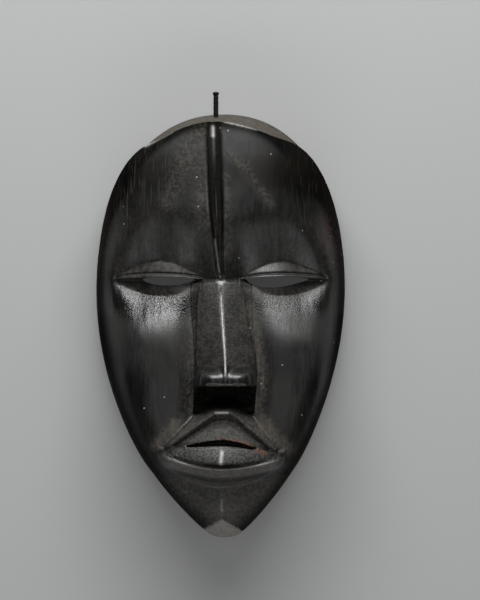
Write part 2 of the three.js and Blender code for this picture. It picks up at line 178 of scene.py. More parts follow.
# %% The plain dome
def dome(y, spread):
    """Height of the dome: its full height times a power of one minus spread to a power, squarer at the jaw."""
    jaw, brow = ease(y, 5, -75), ease(y, 35, 90)
    full = 60 - 4.5 * ease(y, 15, -35) + 0.5 * jaw + 3 * bell(y - 66, 34)
    rounded = cap(spread, 2.65 + 17.35 * jaw) ** (0.476 - 0.036 * jaw)
    return full * (rounded + (1 - 0.22 * spread**2.2 - rounded) * brow)


# %% [markdown]
# ## Eyes
# A brow slope comes down to the eye line from above and a cheek slope from below, like two pages of an open
# book. Between them lie a swollen upper lid, a fine groove over the slit, and a flat lower lid. The two eyes
# differ a little, as hand-cut ones do.

# %% Brow slope, cheek slope and lids
EYE_MIDDLE, EYE_HALF, EYE_RISE = (-35.6, 36.6), (26.0, 25.6), (10.2, 9.8)


def carve_eyes(x, y, plain, spread):
    """The dome less a socket. Each slope is the socket's depth times a power of the distance left to go."""
    out = np.abs(x)
    along = (x - side(x, *EYE_MIDDLE)) / side(x, *EYE_HALF)
    to_nose = side(x, along, -along)
    lens = cap(along, 2)
    lid_rise = side(x, *EYE_RISE) * lens * (1 + 0.12 * to_nose)
    brow_rise = (side(x, *EYE_RISE) + 0.2) * bell(to_nose - 0.05, 0.74)
    lid_drop = 9.4 * lens**0.9 * (1 + 0.1 * to_nose)
    socket = 0.8 + 12.7 * ease(out, 72, 44) - 4 * bell(out, 8) + 1.2 * bell(out - 15, 6)
    depth = socket * (0.2 + 0.8 * ease(spread, 1, 0.8))
    bed = plain - depth
    up = np.clip(1 - (y - EYE_Y - brow_rise) / np.clip(38 - 0.35 * out, 17, 40), -2, 3)
    brow = plain - depth * (higher(up, 0, 0.22) - 0.012)
    length = 29 + 27 * bell(out - 14, 13)
    left = np.clip(1 - (EYE_Y - lid_drop - y) / length, 0, 3)
    trough = 3.6 * bell(out - 15, 8) * ease(y, 16, -6) * ease(y, -74, -46)
    cheek = plain - depth * left**2 - trough
    z = higher(brow, cheek, 0.7)
    z = np.where(lens > 0, higher(z, bed - 1.2 * bell(to_nose - 0.85, 0.25), 0.5), z)
    across = (y - EYE_Y) / np.maximum(lid_rise, 0.4)
    swell = 5 * lens**0.6 * np.clip(lower(1.06 - 0.9 * across, 6 * (across + 0.1), 0.2), 0, 1)
    on_lid = (across > -0.1) & (across < 1.1) & (lens > 0.004)
    z = np.where(on_lid, higher(z, bed - 0.6 + swell, 0.4), z)
    return z - bell(y - EYE_Y - 3.3 * lens**0.6, 0.6) * ease(lens, 0, 0.2)


# %% [markdown]
# ## Keel and nose
# A narrow bar between two grooves runs down the forehead and points at the nose. The nose itself is a sharp
# ridge with flat sides that ends in a polished tip with two wings, hollowed out below.

# %% Forehead bar
def keel_half(y):
    """Half the bar's width, wide on the forehead and narrow at the nose."""
    return 1.3 + 1.5 * ease(y, EYE_Y + 3, EYE_Y + 50) - 0.8 * ease(y, 98, 108)


def keel(x, y):
    """A rounded bar less two bell-shaped grooves, fading in above the eye line and rounded off at the crown."""
    out, half = np.abs(x), keel_half(y)
    bar = (1.1 + 0.45 * half) * cap(x / half, 2) ** 0.75 * np.sqrt(ease(y, 110, 102))
    grooves = 0.42 * (1 + half) * bell(out - half - 0.5, 0.35 + 0.2 * half)
    return (bar - grooves) * ease(y, EYE_Y, EYE_Y + 5)


# %% Nose
FAR_BELOW = -60.0
NOSE_EDGE_Y = -38.8


def nose_ridge(y):
    """Height of the ridge: climbs evenly to the tip, and falls away fast above the root."""
    return lower(51.6 + (17.5 - y) * 0.425, 74.8, 1) - 2.2 * np.clip(y - 17.5, 0, 99)


def nose_wedge(x, y):
    """The ridge less a side slope that steepens towards the tip."""
    steep = 0.46 + 0.0132 * np.clip(16.5 - y, 0, 60)
    return nose_ridge(y) - steep * fold(x, 1) - 2 * np.clip(np.abs(x) - 16.5, 0, 99) ** 2


def nose(x, y):
    """The wedge joined to a squarish tip block with two wings, cut off below by a scooped underside."""
    out = np.abs(x)
    body = np.clip(1 - (out / 17) ** 6 - np.clip((y + 37.5) / 9.5, 0, 1) ** 2.3, 0, 1)
    wings = 50 + 23.4 * body**0.38 + 1.3 * bell(out - 6.5, 3.6) * ease(y, -27, -35)
    solid = np.where(body > 0, higher(nose_wedge(x, y), wings, 1.6), nose_wedge(x, y))
    from_scoop = np.hypot(x, y + 53) / 9.5
    past = NOSE_EDGE_Y - y
    underside = 74 - past - 1.8 * past / np.hypot(past, 1.5) - 0.1 * out - 8 * np.sqrt(cap(from_scoop, 2))
    return np.where((y > -60) & (out < 22), lower(solid, underside, 0.4), FAR_BELOW)


# %% [markdown]
# ## Mouth and chin
# The mouth is a raised diamond: a border like a roof above, full lips with a narrow slit between them, and a
# second border below. Under it the chin keeps a faint keel and ends in a slanted facet.

# %% Lips and their borders
MOUTH_HALF, LIP_HALF, SLIT_HALF = 34.0, 31.0, 20.5
ROOF_SLOPE = (0.76, 0.86)
MOUTH_TOP_Y = -54.6


def lip_line(x):
    """Where the lips meet: nearly straight, with both ends drooping, the right one more."""
    return -71.3 - side(x, 2.6, 4.7) * (1 - bell(x, 17))


def border_line(x):
    """Crest of the lower border: a power curve that rises to both corners."""
    return -85.6 + side(x, 6.6, 4.6) * (np.abs(x) / MOUTH_HALF) ** 1.7


def groove_line(x):
    """Bottom of the groove between the upper lip and its border: two straight slopes, rounded between."""
    return -59 - side(x, *ROOF_SLOPE) * (fold(x, 9) + 0.9)


def mouth_rise(x, y):
    """Height over the dome, as straight slopes joined by soft maxima and minima."""
    out, line = np.abs(x), lip_line(x)
    taper, lip_taper = cap(out / (MOUTH_HALF + 1.5), 2.2), cap(out / LIP_HALF, 2)
    lip_top = 1 + 17.2 * lip_taper
    steep = side(x, *ROOF_SLOPE)
    within = (MOUTH_TOP_Y - y - steep * fold(np.maximum(out - 3.5, 0), 1.5)) / np.hypot(1, steep)
    border = 1 + 9.8 * taper
    groove = border - 2.6 * (0.3 + 0.7 * taper)
    groove_y = groove_line(x)
    lip = groove + (lip_top - groove) * np.clip((groove_y - y) / np.maximum(groove_y - line, 0.8), -0.2, 1.3)
    upper = lower(border + 2 * within, higher(border - 1.3 * within, lip, 0.4), 0.6)
    border_y = border_line(x)
    above, border, crest = y - border_y, 1 + 15.6 * taper, 1 + 19.6 * lip_taper
    share = np.clip((above - 3.2) / np.maximum(line - border_y - 3.2, 0.6), 0, 1.3)
    lip = crest - (crest - lip_top + 0.8) * share**1.6
    inside = higher(lower(lip, border - 1.6 + 2.6 * (above - 1.1), 0.7), border - 1.1 * above, 0.4)
    outside = lower(border, lower(border + 0.55 * above, border - 2.4 + 2.4 * (above + 4.6), 0.7), 0.2)
    return np.where(y > line, upper, np.where(above > 0, inside, outside))


def mouth(x, y, plain):
    """The dome plus the rise, kept below a steep wall at both corners."""
    left = MOUTH_HALF + 1.5 - np.abs(x)
    return np.where(left > 0, plain + lower(mouth_rise(x, y), 3 * left, 0.5), FAR_BELOW)


def mouth_slit(x, y):
    """Depth of the slit between the lips: a half circle across, tapering to its ends."""
    half = 0.35 + 1.4 * cap(x / SLIT_HALF, 2) ** 1.4
    across = np.clip(1 - ((y - lip_line(x) - 0.1) / half) ** 2, 0, 1)
    return 9 * np.sqrt(across) * ease(np.abs(x), SLIT_HALF, SLIT_HALF - 3.5)


def chin(x, y, z):
    """A shallow keel, cut by a plane that slants down at the tip."""
    keeled = z - 0.22 * ease(y, -82, -94) * fold(x, 2)
    return lower(keeled, np.where(y < -100, 42.5 + 2.5 * (y + 118.5), 200), 0.8)


# %% [markdown]
# ## The face as one height
# All forms are joined into one function of the place in plan. A bevel cuts the crown, and elsewhere the
# sides drop sharply to the rim.

# %% Height of the whole face
def edge_cut(x, y, spread):
    """Distance to the outline times a slope: steep at the sides, gentle at the crown, gentlest at its chip."""
    angle = angle_of(x, y)
    steep = 6.8 - 1.1 * bell(angle - 1.37, 0.17) + 60 * ease(np.sin(angle), 0.96, 0.7) ** 1.5
    return (1 - spread) * reach(angle) * steep + 0.5


def face_parts(x, y):
    """The face's height, with the heights that later tell nose, mouth and crown edge apart."""
    spread = spread_of(x, y)
    plain = dome(y, spread)
    skin = carve_eyes(x, y, plain, spread)
    skin = skin + keel(x - midline(y) * spread**MIDLINE_POWER, y) * ease(spread, 1, 0.955)
    z = higher(skin, np.maximum(nose(x, y), FAR_BELOW), 1)
    z = higher(z, np.maximum(mouth(x, y, plain), FAR_BELOW), 0.7)
    z = chin(x, y, z) - mouth_slit(x, y)
    cut = edge_cut(x, y, spread)
    return np.maximum(lower(z, cut, 0.6), 0), skin, z, cut


def face_height(x, y):
    """The height alone."""
    return face_parts(x, y)[0]


print("nose tip at", round(float(face_height(np.array([0.0]), np.array([-36.0]))[0]), 1), "mm")

# %% [markdown]
# ## Traces of hand work
# A knife leaves long shallow facets and a rubbed surface is never quite even. Seeded smooth noise, stretched
# along the grain, moves the face by a tenth of a millimetre or two. In the hollow, nobody smoothed the gouge
# marks, so there each stroke is a shallow scoop.

# %% Smooth noise on a lattice
def noise(x, y, size, seed):
    """Between -1 and 1: random values on a lattice of the given size, joined by smooth S curves."""
    table = np.random.default_rng(seed).uniform(-1, 1, (61, 61))
    u, v = x / size + 30, y / size + 30
    i, j = np.floor(u).astype(int), np.floor(v).astype(int)
    s, t = ease(u - i, 0, 1), ease(v - j, 0, 1)
    near = table[i % 61, j % 61] * (1 - s) + table[(i + 1) % 61, j % 61] * s
    far = table[i % 61, (j + 1) % 61] * (1 - s) + table[(i + 1) % 61, (j + 1) % 61] * s
    return near * (1 - t) + far * t


def unevenness(x, y):
    """Height change of the rubbed face in mm: broad facets and finer waves along the grain."""
    return 0.22 * noise(x, y * 0.45, 11, 3) + 0.09 * noise(x, y * 0.4, 4.2, 4) + 0.03 * noise(x, y * 0.3, 1.6, 5)


def gouge_marks(x, y):
    """Depth of the nearest stroke: the square of the distance to its middle, on a jittered lattice."""
    table = np.random.default_rng(8).uniform(-0.32, 0.32, (2, 47, 47))
    u, v = x / 8.5 + 20, y / 17 + 20
    best = np.full(np.shape(x), 9.0)
    for step_x in (-1, 0, 1):
        for step_y in (-1, 0, 1):
            i, j = np.floor(u).astype(int) + step_x, np.floor(v).astype(int) + step_y
            gap_x = u - i - 0.5 - table[0, i % 47, j % 47]
            gap_y = v - j - 0.5 - table[1, i % 47, j % 47]
            best = np.minimum(best, gap_x**2 + gap_y**2)
    return best


# %% [markdown]
# ## The hollow
# Behind the face the wood is dug out to a wall of about a centimetre, with deeper places for a nose and a
# mouth. It uses the same outline, moved in by the width of the rim.

# %% Height of the hollow
def rim_width(angle):
    """7 mm of flat rim, a little more at the crown."""
    return 7 + 2.5 * np.clip(np.sin(angle), 0, 1) ** 6


def hollow_height(x, y):
    """A bowl under the dome, lowered behind the eyes and raised behind the nose and the mouth."""
    angle = angle_of(x, y)
    spread = np.minimum(np.hypot(x, y - EYE_Y) / (reach(angle) - rim_width(angle)), 1)
    jaw = ease(y, 5, -75)
    full = 50 - 3.5 * ease(y, 15, -35) - 1.5 * jaw + 2 * bell(y - 66, 34)
    bowl = full * np.sqrt(cap(spread, 2.5 + 5.5 * jaw + 3.5 * ease(y, 35, 90)))
    eyes = 12 * bell(y - EYE_Y, 19) * ease(np.abs(x), 68, 44)
    beside = 4 * bell(np.abs(x) - 14, 8) * bell(y - 2, 13)
    room = 9 * bell(x, 8) * bell(y + 24, 16) + 10.5 * bell(x, 19) * bell(y + 74, 13)
    marks = 0.9 * gouge_marks(x, y) * ease(spread, 1, 0.86)
    return np.maximum(bowl - eyes - beside + room - marks, 0)


# %% [markdown]
# ## A grid that follows the carving
# The surface is laid on rays from the middle of the eye line and on rings around it. Rays stand closer over
# the mouth, and rings crowd where the face bends. Two rays run exactly along the eye line, so the eye slits
# open between them like a seam, with clean edges and no boolean.

# %% Rays and rings
RAYS_ABOVE, RAYS_BELOW = 230, 270
FACE_RINGS, HOLLOW_RINGS = 152, 38
RINGS_PER_STEP = FACE_RINGS // HOLLOW_RINGS


def ray_angles(start, end, count):
    """Angles spread by a density that has humps over the mouth, the forehead bar and the eye line."""
    fine = np.linspace(start, end, 4001)
    to_seam = np.minimum(np.abs(fine - start), np.abs(end - fine))
    density = 1 + 1.5 * bell(fine - 1.5 * math.pi, 0.4) + 0.5 * bell(fine - 0.5 * math.pi, 0.12)
    density = density + bell(to_seam, 0.16)
    total = np.concatenate([[0], np.cumsum(density[1:] + density[:-1])])
    return np.interp(np.arange(count) / count, total / total[-1], fine)


def smoothed(values, width, axis, closed):
    """A moving average with a raised-cosine window along one axis."""
    window = np.hanning(width + 2)[1:-1] / np.hanning(width + 2).sum()
    half, rows = width // 2, np.moveaxis(values, axis, 0)
    before = rows[-half:] if closed else rows[:1].repeat(half, 0)
    after = rows[:half] if closed else rows[-1:].repeat(half, 0)
    padded = np.concatenate([before, rows, after])
    total = sum(window[i] * padded[i : i + rows.shape[0]] for i in range(width))
    return np.moveaxis(total, 0, axis)


def ring_shares(angles):
    """Places of the rings along each ray, spaced by how much the face bends there."""
    fan, along = np.linspace(0, FULL_TURN, 721)[:-1], np.linspace(0, 1, 401)
    turn, share = np.meshgrid(fan, along, indexing="ij")
    far = reach(turn)
    height = face_height(share * far * np.cos(turn), EYE_Y + share * far * np.sin(turn))
    slope = np.arctan(np.gradient(height, along, axis=1) / far)
    bend = np.minimum(np.abs(np.gradient(slope, along, axis=1)) / far, 1.2)
    weight = 0.02 + 0.22 * smoothed(smoothed(bend, 9, 1, False), 41, 0, True)
    place = angles / (fan[1] - fan[0])
    first = np.floor(place).astype(int) % len(fan)
    mix = (place - np.floor(place))[:, None]
    weight = weight[first] * (1 - mix) + weight[(first + 1) % len(fan)] * mix
    summed = np.cumsum(weight[:, 1:] + weight[:, :-1], axis=1)
    total = np.concatenate([np.zeros((len(angles), 1)), summed], axis=1)
    wanted = np.arange(1, FACE_RINGS + 1) / FACE_RINGS
    return np.array([np.interp(wanted, row / row[-1], along) for row in total]).T


angles = np.concatenate([ray_angles(0, math.pi, RAYS_ABOVE), ray_angles(math.pi, FULL_TURN, RAYS_BELOW)])
shares = ring_shares(angles)
print("grid:", len(angles), "rays by", FACE_RINGS, "rings")

# %% [markdown]
# ## Eye slits
# Each slit is a lens between two curves. Four rings of the face stand for one ring of the hollow, so the
# ends of a slit are moved onto rings that both sheets share. Then a wall of small triangles can join the
# fine edge in front to the coarse edge behind.

# %% Openings along the eye line
SLITS = {
    "right": {"angle": 0.0, "middle": 32.3, "half": 18.0, "up": 1.4, "down": 4.4, "skew": 0.45},
    "left": {"angle": math.pi, "middle": -29.9, "half": 15.0, "up": 1.2, "down": 3.6, "skew": 0.0},
}


def opening(x, upwards):
    """How far the slit opens above or below the eye line: a power of one minus the place squared."""
    total = np.zeros_like(x)
    for slit in SLITS.values():
        place = (x - slit["middle"]) / slit["half"]
        if upwards:
            total = total + slit["up"] * np.sqrt(cap(place, 2))
        else:
            total = total + slit["down"] * cap(place, 2) ** 0.7 * (1 - slit["skew"] * place)
    return total


def angle_gap(slit):
    """Each ray's distance in angle from a slit's ray."""
    return np.abs(np.mod(angles - slit["angle"] + math.pi, FULL_TURN) - math.pi)


step = np.arange(1, HOLLOW_RINGS + 1) / HOLLOW_RINGS
hollow_shares = np.repeat(np.sin(0.5 * math.pi * step)[:, None], len(angles), axis=1)
for slit in SLITS.values():
    ray = int(np.argmin(angle_gap(slit)))
    far, rim = reach(slit["angle"]), rim_width(slit["angle"])
    ends = np.abs(slit["middle"]) + np.array([-1, 1]) * slit["half"]
    ring = np.interp(ends / far, shares[:, ray], np.arange(1, FACE_RINGS + 1))
    slit["steps"] = np.round(ring / RINGS_PER_STEP).astype(int)
    held = shares[slit["steps"] * RINGS_PER_STEP - 1, ray]
    move = np.interp(shares, [0, *held, 1], [0, *(ends / far - held), 0])
    shares = shares + move * bell(angle_gap(slit), 0.12)
    even = np.interp(step, [0, *(slit["steps"] / HOLLOW_RINGS), 1], [0, *(ends / (far - rim)), 1])
    hollow_shares += (even[:, None] - hollow_shares) * bell(angle_gap(slit), 0.3)
    print("slit from ring", slit["steps"] * RINGS_PER_STEP, "of", FACE_RINGS)

# %% [markdown]
# ## One closed mesh
# Face and hollow are two sheets over the same rays, joined by the flat rim and by the walls of the slits.
# Columns run once round the mask, with the two seam rays doubled where a slit is open.

# %% Points of both sheets
columns = np.concatenate([angles[: RAYS_ABOVE + 1], angles[RAYS_ABOVE:], [FULL_TURN]])
take = np.concatenate([np.arange(RAYS_ABOVE + 1), np.arange(RAYS_ABOVE, len(angles)), [0]])
is_upper = np.arange(len(columns)) <= RAYS_ABOVE


def plan(ring_places, far, scale):
    """Points in plan along each ray, moved up or down by the opening, which fades away from the eye line."""
    x = ring_places * far * np.cos(columns)
    y = EYE_Y + ring_places * far * np.sin(columns)
    up = scale * opening(x, True) * np.exp(-np.abs(y - EYE_Y) / 6)
    down = scale * opening(x, False) * np.exp(-np.abs(y - EYE_Y) / 12)
    return x, y + np.where(is_upper, up, -down)


def set_place(x, y, z):
    """Points in space, moved sideways with the face's middle line."""
    shifted = x + midline(y) * (1 - spread_of(x, y) ** MIDLINE_POWER)
    return np.stack([shifted, y, z], axis=-1).reshape(-1, 3)


face_x, face_y = plan(shares[:, take], reach(columns), 1.0)
face_z, skin_z, carved_z, cut_z = face_parts(face_x, face_y)
spread = spread_of(face_x, face_y)
face_z = face_z + unevenness(face_x, face_y) * ease(spread, 1, 0.93) * ease(np.abs(face_x), 0.5, 3)
face_z[-1] = 0
hollow_x, hollow_y = plan(hollow_shares[:, take], reach(columns) - rim_width(columns), 1.3)
hollow_z = hollow_height(hollow_x, hollow_y)
hollow_z[-1] = 0
middle = np.array([0.0]), np.array([EYE_Y])
points = np.concatenate(
    [
        set_place(face_x, face_y, face_z),
        set_place(hollow_x, hollow_y, hollow_z),
        set_place(*middle, face_height(*middle)),
        set_place(*middle, hollow_height(*middle)),
    ]
)

# %% Faces between the points
face_ids = np.arange(face_x.size).reshape(face_x.shape)
hollow_ids = face_x.size + np.arange(hollow_x.size).reshape(hollow_x.shape)
FACE_MIDDLE, HOLLOW_MIDDLE = face_x.size + hollow_x.size, face_x.size + hollow_x.size + 1


def close_seams(ids, rings_per_step):
    """Both copies of a seam ray share their points, except strictly between the ends of its slit."""
    number = np.arange(1, ids.shape[0] + 1)
    for slit, copy, original in ((SLITS["right"], -1, 0), (SLITS["left"], RAYS_ABOVE + 1, RAYS_ABOVE)):
        first, last = slit["steps"] * rings_per_step
        shut = (number <= first) | (number >= last)
        ids[shut, copy] = ids[shut, original]


def sheet_faces(ids, centre):
    """Quads between neighbouring rings and columns, and a fan round the middle."""
    quads, fan = [], []
    for half in (ids[:, : RAYS_ABOVE + 1], ids[:, RAYS_ABOVE + 1 :]):
        corners = half[:-1, :-1], half[1:, :-1], half[1:, 1:], half[:-1, 1:]
        quads.append(np.stack(corners, axis=-1).reshape(-1, 4))
        fan.append(np.stack([np.full(half.shape[1] - 1, centre), half[0, :-1], half[0, 1:]], axis=-1))
    return np.concatenate(quads), np.concatenate(fan)


def wall_faces(fine, coarse):
    """Triangles between an edge of four times as many steps and the edge behind it."""
    steps, halfway = len(coarse) - 1, RINGS_PER_STEP // 2
    grid = fine[np.arange(steps)[:, None] * RINGS_PER_STEP + np.arange(RINGS_PER_STEP + 1)]
    rows = []
    for part in range(RINGS_PER_STEP):
        behind = coarse[:-1] if part < halfway else coarse[1:]
        rows.append(np.stack([grid[:, part], grid[:, part + 1], behind], axis=-1))
    rows.append(np.stack([grid[:, halfway], coarse[1:], coarse[:-1]], axis=-1))
    return np.concatenate(rows)


close_seams(face_ids, RINGS_PER_STEP)
close_seams(hollow_ids, 1)
face_quads, face_fan = sheet_faces(face_ids, FACE_MIDDLE)
hollow_quads, hollow_fan = sheet_faces(hollow_ids, HOLLOW_MIDDLE)
rim_quads = []
for half in (slice(0, RAYS_ABOVE + 1), slice(RAYS_ABOVE + 1, None)):
    outer, inner = face_ids[-1, half], hollow_ids[-1, half]
    rim_quads.append(np.stack([outer[:-1], inner[:-1], inner[1:], outer[1:]], axis=-1))
walls = []
for slit, upper, under in ((SLITS["right"], 0, -1), (SLITS["left"], RAYS_ABOVE, RAYS_ABOVE + 1)):
    first, last = slit["steps"]
    rows = slice(first * RINGS_PER_STEP - 1, last * RINGS_PER_STEP)
    for column, turned in ((upper, slit is SLITS["right"]), (under, slit is SLITS["left"])):
        wall = wall_faces(face_ids[rows, column], hollow_ids[first - 1 : last, column])
        walls.append(wall[:, ::-1] if turned else wall)
quads = np.concatenate([face_quads, hollow_quads[:, ::-1], *rim_quads])
triangles = np.concatenate([face_fan, hollow_fan[:, ::-1], *walls])
print("points", len(points), "quads", len(quads), "triangles", len(triangles))


# %% Mesh object
def build_object(name, coordinates, faces):
    """A smooth-shaded mesh object in metres, at the origin, from points in millimetres."""
    mesh = bpy.data.meshes.new(name)
    mesh.from_pydata((coordinates * MM).tolist(), [], faces)
    mesh.polygons.foreach_set("use_smooth", [True] * len(mesh.polygons))
    mesh.update()
    made = bpy.data.objects.new(name, mesh)
    bpy.context.scene.collection.objects.link(made)
    return made


used, flat = np.unique(np.concatenate([quads.ravel(), triangles.ravel()]), return_inverse=True)
faces = flat[: quads.size].reshape(-1, 4).tolist() + flat[quads.size :].reshape(-1, 3).tolist()
mask = build_object("carved_mask", points[used], faces)
print("mask mesh:", len(mask.data.vertices), "vertices")

# %% [markdown]
# ## Where the surface is worn, crusted or stained, and where light and shade are painted
# Colour follows the hand: the crown edge is rubbed to bare wood, the sides of the nose keep a dull crust,
# and a little red earth is left at the lips. Other shares paint light and shade: painted shade in grooves and
# under the nose and the lower border, painted highlights along ridges and edges, and painted reflections in
# some pale dust. Each of these is a share from 0 to 1 stored on the mesh as an attribute, so that the finish
# can break it up with noise.

# %% Places on the face
def spot(x, y, at_x, at_y, wide, high):
    """A soft oval spot."""
    return np.exp(-(((x - at_x) / wide) ** 2) - ((y - at_y) / high) ** 2)


def stroke(x, y, from_x, from_y, to_x, to_y, wide):
    """A soft line between two points: a bell of the distance to the nearest place on it."""
    along_x, along_y = to_x - from_x, to_y - from_y
    place = ((x - from_x) * along_x + (y - from_y) * along_y) / (along_x**2 + along_y**2)
    place = np.clip(place, 0, 1)
    return bell(np.hypot(x - from_x - place * along_x, y - from_y - place * along_y), wide)


def nose_half(y):
    """Half the width of the nose's sides: 12 mm at the root and 5 mm more at the wings."""
    return 12 + 0.095 * np.clip(17 - y, 0, 50)


def mouth_shade(x, y):
    """Painted shade: a soft share along both grooves that part the lips from their borders, and a painted shadow
    under the lower border.
    """
    upper, above = y - groove_line(x) + 0.6, y - border_line(x)
    return (bell(upper, 1.3) + bell(above - 2, 1.2) + bell(above + 8.6, 3)) * ease(np.abs(x), 33, 28)


def dust_and_reflection_bands(x, y):
    """Pale bands on the forehead, partly dust and partly painted reflections: an arm slanting down on each side,
    and a strip along the bar.
    """
    arms = stroke(x, y, -9, 104, -17, 94, 4) + stroke(x, y, -17, 94, -29, 63, 5)
    arms = arms + stroke(x, y, 3, 91, 13, 84, 2.4) + stroke(x, y, 13, 84, 28, 62, 2.6)
    strips = 0.8 * stroke(x, y, -12, 92, -9.5, 50, 4.2) + 0.8 * stroke(x, y, 3.4, 78, 4, 34, 2.4)
    return np.clip(arms + strips, 0, 1)


def painted_highlight_lines(x, y):
    """Painted highlights along lines: both ends of the bar, the nose's front edge, the mouth's top and two ridges
    under it.
    """
    bar = 1.1 * stroke(x, y, -4.1, 105, -3.9, 100, 0.8) + 0.6 * stroke(x, y, -2.8, 41.8, -0.6, 23.8, 0.45)
    edges = 0.6 * stroke(x, y, -7, NOSE_EDGE_Y, 14, NOSE_EDGE_Y, 0.4)
    edges = edges + stroke(x, y, -2.4, MOUTH_TOP_Y, 4.4, MOUTH_TOP_Y, 0.5)
    ridges = 1.6 * stroke(x, y, 1.2, -75.8, 0.7, -82, 0.9) + 0.6 * stroke(x, y, 1, -104, 1, -110, 0.6)
    return bar + edges + ridges


def face_places(x, y, z, skin, carved, cut, share):
    """Named places on the face, each a soft share of eases, bells, spots and strokes; p is short for places."""
    out, past_side = np.abs(x), np.abs(x) - nose_half(y)
    real_x = x + midline(y) * (1 - share**MIDLINE_POWER)
    beside_keel = x - midline(y) * share**MIDLINE_POWER
    line, above = y - lip_line(x), y - border_line(x)
    p = SimpleNamespace(x=x, y=y, real_x=real_x, line=line, past_side=past_side, above=above, out=out)
    p.nose_sides = ease(past_side, 0.8, -0.6) * ease(y, -31, -26) * ease(y, 18.5, 16.5) * (1 - bell(x, 1.4))
    p.under_nose = ease(nose(x, y) - skin, -0.5, 0.5) * ease(y, NOSE_EDGE_Y - 0.1, NOSE_EDGE_Y - 1)
    # Beside the nose: rubbed and dusty, and the dust there also paints a sheen.
    p.beside_nose = bell(past_side - 3.4, 4.2) * ease(y, -58, -46) * ease(y, 14, 2)
    p.flanks = stroke(real_x, y, 17, -48, 26, -62, 4) + 0.8 * stroke(real_x, y, -13, -50, -24, -62, 4)
    p.crown_cut = ease(carved - cut, -0.4, 0.6) * ease(np.sin(angle_of(x, y)), 0.5, 0.8)
    p.crown_edge = stroke(real_x, y, 3, 108.3, 20, 104.4, 0.8) + stroke(real_x, y, -42, 94.6, -27, 103, 0.8)
    p.crown_edge = p.crown_edge * bell(np.maximum(carved - cut, 0), 1.2)
    p.beside_bar = bell(beside_keel + keel_half(y) + 2.2, 0.8) * ease(y, 46, 60) * ease(y, 106, 98)
    p.bar_grooves = bell(np.abs(beside_keel) - keel_half(y) - 0.6, 0.9) * ease(y, EYE_Y + 8, EYE_Y + 30)
    p.brow = ease(y, 66, 46) * ease(y, EYE_Y - 2, EYE_Y + 6)
    p.lid = bell(y - EYE_Y - 5, 5) * ease(out, 62, 55) * ease(out, 8, 14)
    p.left_lid = p.lid * ease(-x, 0, 4)
    p.lower_lid = bell(y - EYE_Y + 6, 4) * ease(out, 60, 50) * ease(out, 8, 14)
    p.mouth = ease(z - skin, 1, 4) * ease(y, -50, -56) * ease(y, -96, -92)
    p.corners = stroke(real_x, y, -36, -74, -26, -62, 4.5) + stroke(real_x, y, 24, -62, 39, -76, 5)
    p.crest = ease(above, -5.4, -4.2) * ease(above, 1.2, 0.2) * ease(out, 34, 28)
    p.chin = ease(y, -89, -94) * ease(share, 1, 0.9)
    # The chin's tip: worn and dusty, and its pale is partly a painted reflection.
    p.tip = ease(-114.8 - 0.75 * np.abs(real_x - 1) - y, -0.4, 0.6)
    p.rim = ease(share, 0.85, 0.97) * (1 - p.crown_cut) * (1 - p.tip)
    p.scratched = spot(real_x, y, -57, 60, 11, 28) + 0.6 * spot(real_x, y, -36, 80, 16, 26)
    p.scratched = p.scratched + 0.4 * spot(real_x, y, 50, 72, 18, 30)
    return p


# %% Finishes from places
def worn(p):
    """Where bare wood shows: the crown above all, then corners, edges and the chin's tip."""
    rubbed = 1.2 * p.crown_cut + 0.6 * p.corners + 0.7 * p.beside_bar + 0.6 * p.crest + 0.9 * p.tip
    return rubbed + side(p.x, 0.3, 0.55) * p.beside_nose + 0.4 * p.flanks + 0.35 * p.chin + 0.3 * p.left_lid


def dust_and_sheen(p):
    """Where the polish is dulled by dust; the forehead's bands also paint reflections, and the strip beside the
    nose a sheen.
    """
    above_eyes = dust_and_reflection_bands(p.real_x, p.y) + 0.2 * spot(p.real_x, p.y, -20, 76, 20, 36) + 0.45 * p.brow
    lids = 0.9 * p.lower_lid + side(p.x, 1.0, 0.3) * p.lid
    below = 0.7 * p.corners + 0.9 * p.chin + 0.95 * p.mouth + 0.8 * p.tip + 0.75 * p.beside_nose + 0.5 * p.flanks
    return above_eyes + lids + below


def reddened(p):
    """Red earth along the upper lip's lower edge, most at the right corner."""
    left, middle = stroke(p.real_x, p.line, -19, 0.4, -11, 1.8, 0.9), stroke(p.real_x, p.line, -1, 2.1, 14, 1.8, 1)
    return 0.7 * left + 1.1 * middle + 1.3 * stroke(p.real_x, p.line, 14, 1.6, 25, -1.8, 1.3)


def matted(p):
    """Where the patina has lost its shine: towards the rim, on the forehead, the left lid and the upper lip."""
    forehead = 0.45 * ease(p.y, 58, 74) + 0.4 * spot(p.real_x, p.y, 42, 78, 20, 24) + 0.4 * p.scratched
    return p.rim + forehead + 0.6 * p.mouth * ease(p.line, 0, 1) + 0.45 * p.left_lid


def paled(p):
    """Painted highlights on lines, on the nose's ridge and on the lower border's crest, pale lines along the crown
    edge, and the palest dust, which on the chin's tip is partly a painted reflection.
    """
    lines = 0.7 * painted_highlight_lines(p.real_x, p.y) + 0.55 * p.crown_edge + 0.45 * bell(p.above, 0.5) * ease(p.out, 33, 20)
    # Painted highlight along the nose's ridge.
    ridge = 0.8 * bell(p.x, 0.5) * ease(p.y, -33, -28) * ease(p.y, 14, 9)
    dust = 0.14 * p.crest + 0.4 * p.tip + 0.07 * p.chin + 0.055 * p.mouth * ease(p.line, 1, 3)
    return lines + ridge + dust


